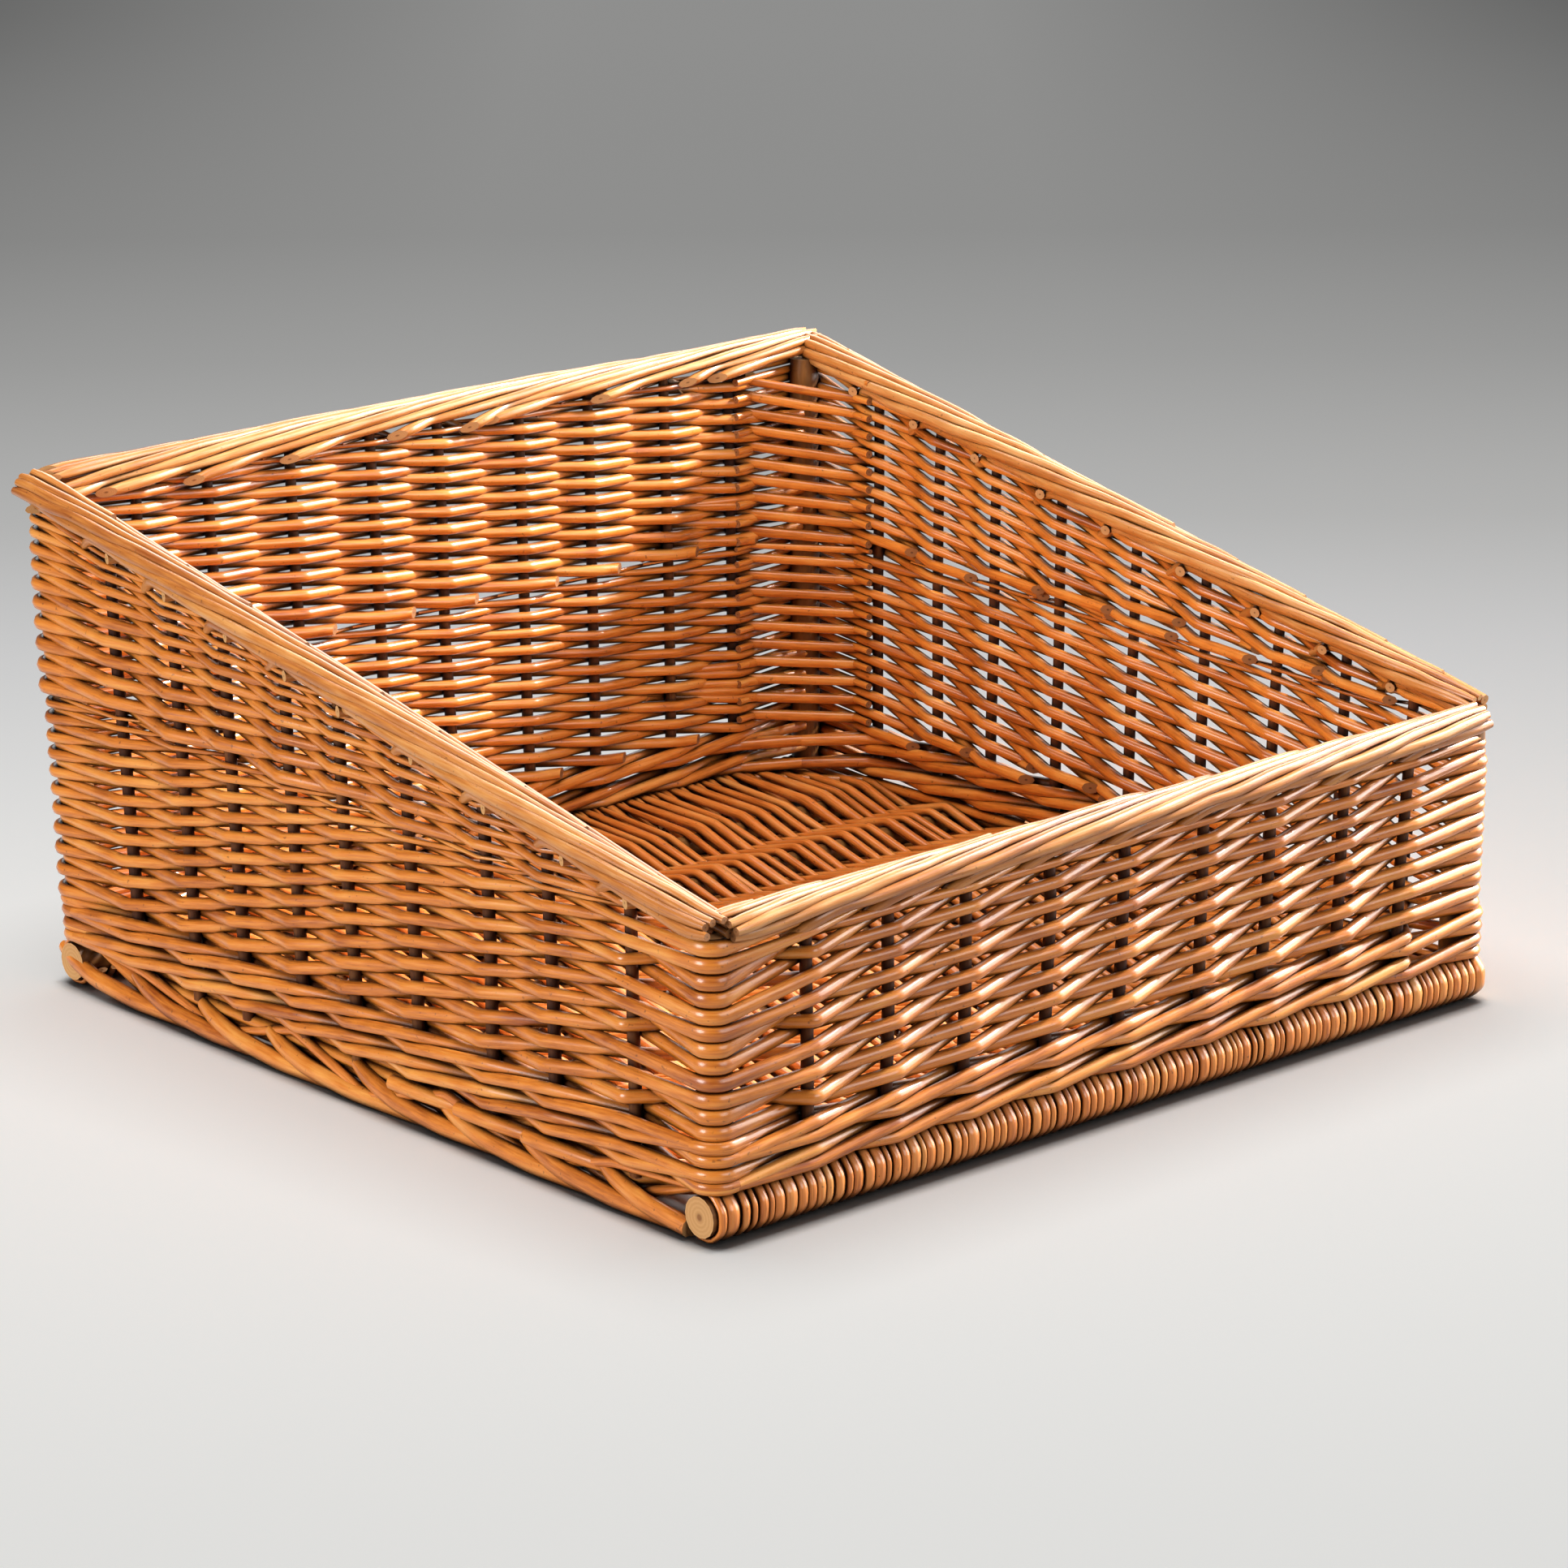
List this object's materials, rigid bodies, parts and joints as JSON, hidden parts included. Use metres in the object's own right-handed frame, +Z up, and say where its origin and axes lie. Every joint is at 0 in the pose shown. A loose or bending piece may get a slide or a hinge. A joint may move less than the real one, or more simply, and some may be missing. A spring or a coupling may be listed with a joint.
{
  "type": "display basket",
  "caption": "Square woven willow display basket with a low front, a high back and sides that slope between them, on a woven base.",
  "frame": {"origin": "on the floor, under the middle of the basket", "axes": "+X to the right along the low front as seen from the front, +Y from the front to the back, +Z up"},
  "size_m": [0.4108, 0.4076, 0.2089],
  "materials": {
    "willow_rod": "varnished willow rod, golden brown, satin",
    "border_rod": "varnished willow rod, pale gold, satin",
    "willow_stick": "thick willow stick, pale tan, satin"
  },
  "bodies": {
    "root": {"back_base_stick": "willow_stick", "back_border": "border_rod", "back_left_corner_post": "willow_stick", "back_right_corner_post": "willow_stick", "back_stake_1": "willow_rod", "back_stake_2": "willow_rod", "back_stake_3": "willow_rod", "back_stake_4": "willow_rod", "back_stake_5": "willow_rod", "back_stake_6": "willow_rod", "back_stake_7": "willow_rod", "back_stake_8": "willow_rod", "back_stake_9": "willow_rod", "back_wall_weave": "willow_rod", "base_weave": "willow_rod", "front_base_stick": "willow_stick", "front_border": "border_rod", "front_left_corner_post": "willow_stick", "front_right_corner_post": "willow_stick", "front_stake_1": "willow_rod", "front_stake_2": "willow_rod", "front_stake_3": "willow_rod", "front_stake_4": "willow_rod", "front_stake_5": "willow_rod", "front_stake_6": "willow_rod", "front_stake_7": "willow_rod", "front_stake_8": "willow_rod", "front_stake_9": "willow_rod", "front_wall_weave": "willow_rod", "inner_base_stick_1": "willow_stick", "inner_base_stick_2": "willow_stick", "inner_base_stick_3": "willow_stick", "inner_base_stick_4": "willow_stick", "inner_base_stick_5": "willow_stick", "inner_base_stick_6": "willow_stick", "inner_base_stick_7": "willow_stick", "left_border": "border_rod", "left_stake_1": "willow_rod", "left_stake_2": "willow_rod", "left_stake_3": "willow_rod", "left_stake_4": "willow_rod", "left_stake_5": "willow_rod", "left_stake_6": "willow_rod", "left_stake_7": "willow_rod", "left_stake_8": "willow_rod", "left_stake_9": "willow_rod", "left_wall_weave": "willow_rod", "right_border": "border_rod", "right_stake_1": "willow_rod", "right_stake_2": "willow_rod", "right_stake_3": "willow_rod", "right_stake_4": "willow_rod", "right_stake_5": "willow_rod", "right_stake_6": "willow_rod", "right_stake_7": "willow_rod", "right_stake_8": "willow_rod", "right_stake_9": "willow_rod", "right_wall_weave": "willow_rod"}
  },
  "joints": []
}
